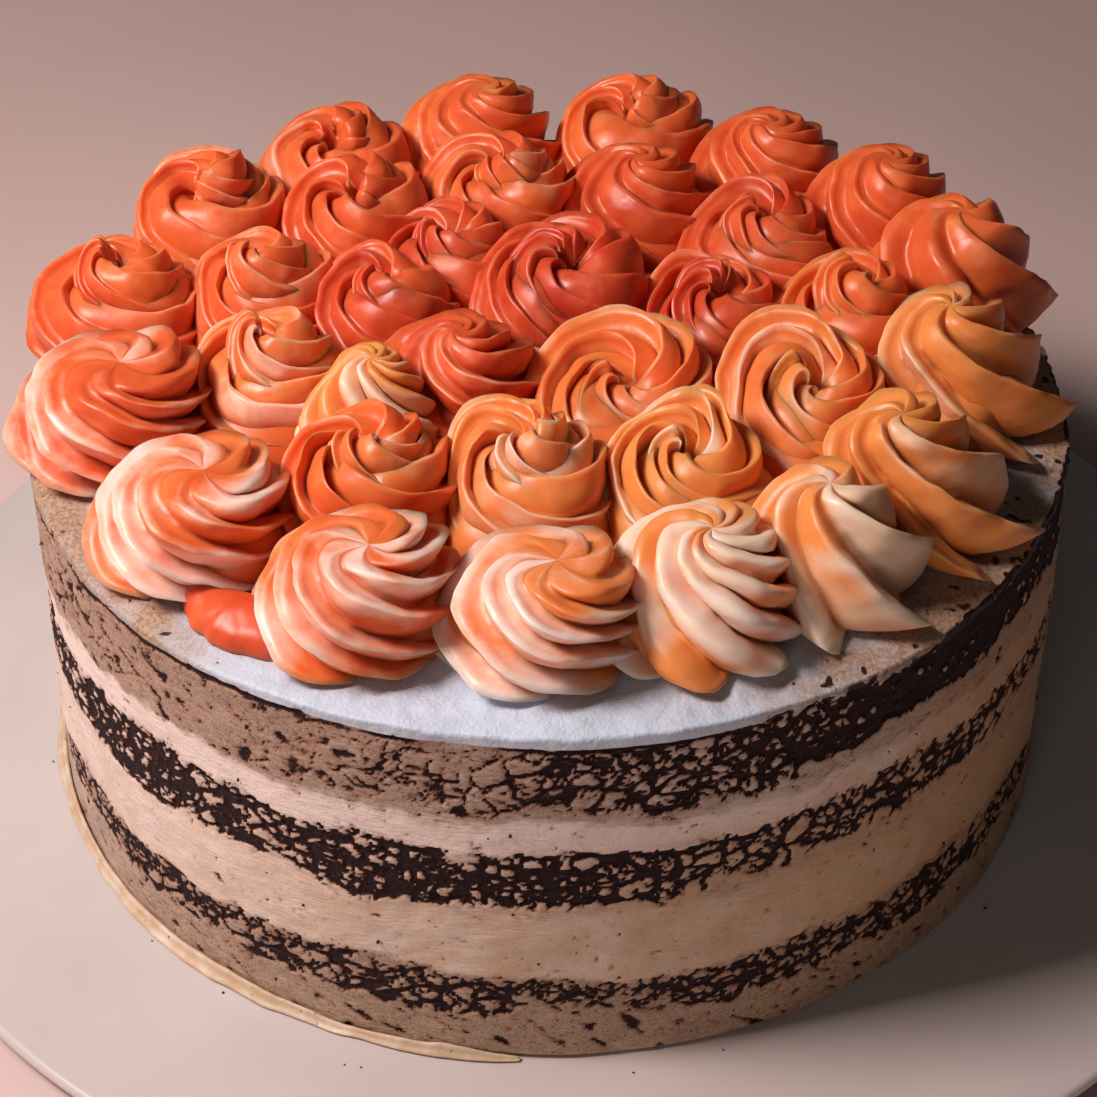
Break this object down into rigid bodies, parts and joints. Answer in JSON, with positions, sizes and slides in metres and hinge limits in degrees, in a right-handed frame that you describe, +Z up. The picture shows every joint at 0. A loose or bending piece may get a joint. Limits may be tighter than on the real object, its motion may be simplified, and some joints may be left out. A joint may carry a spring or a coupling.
{
  "type": "carrot cake on stand",
  "caption": "Round naked layer cake with dark sponge and cream bands, its top covered with swirled orange and peach rosettes, on a flat round plate.",
  "frame": {"origin": "middle of the plate's underside, where the stand rests", "axes": "+Z up through the cake, -Y towards the side that the picture shows"},
  "size_m": [0.305, 0.305, 0.1118],
  "materials": {
    "sponge": "dark moist crumb, matte, open pores",
    "filling": "scraped cream, satin, stained with crumbs",
    "top_icing": "spread white icing, satin, slightly rough",
    "rosette_icing": "soft satin buttercream, orange streaked with peach, cream and pink",
    "foot_icing": "smeared cream, satin",
    "plate": "smooth off-white glaze"
  },
  "bodies": {
    "root": {"dollop": "rosette_icing", "filling_lower": "filling", "filling_upper": "filling", "icing_foot": "foot_icing", "icing_top": "top_icing", "rosette_inner_01": "rosette_icing", "rosette_inner_02": "rosette_icing", "rosette_inner_03": "rosette_icing", "rosette_inner_04": "rosette_icing", "rosette_inner_05": "rosette_icing", "rosette_inner_06": "rosette_icing", "rosette_inner_07": "rosette_icing", "rosette_middle_01": "rosette_icing", "rosette_middle_02": "rosette_icing", "rosette_middle_03": "rosette_icing", "rosette_middle_04": "rosette_icing", "rosette_middle_05": "rosette_icing", "rosette_middle_06": "rosette_icing", "rosette_middle_07": "rosette_icing", "rosette_middle_08": "rosette_icing", "rosette_middle_09": "rosette_icing", "rosette_middle_10": "rosette_icing", "rosette_middle_11": "rosette_icing", "rosette_outer_01": "rosette_icing", "rosette_outer_02": "rosette_icing", "rosette_outer_03": "rosette_icing", "rosette_outer_04": "rosette_icing", "rosette_outer_05": "rosette_icing", "rosette_outer_06": "rosette_icing", "rosette_outer_07": "rosette_icing", "rosette_outer_08": "rosette_icing", "rosette_outer_09": "rosette_icing", "rosette_outer_10": "rosette_icing", "rosette_outer_11": "rosette_icing", "rosette_outer_12": "rosette_icing", "rosette_outer_13": "rosette_icing", "rosette_outer_14": "rosette_icing", "rosette_outer_15": "rosette_icing", "rosette_outer_16": "rosette_icing", "sponge_bottom": "sponge", "sponge_middle": "sponge", "sponge_top": "sponge", "stand_plate": "plate"}
  },
  "joints": []
}
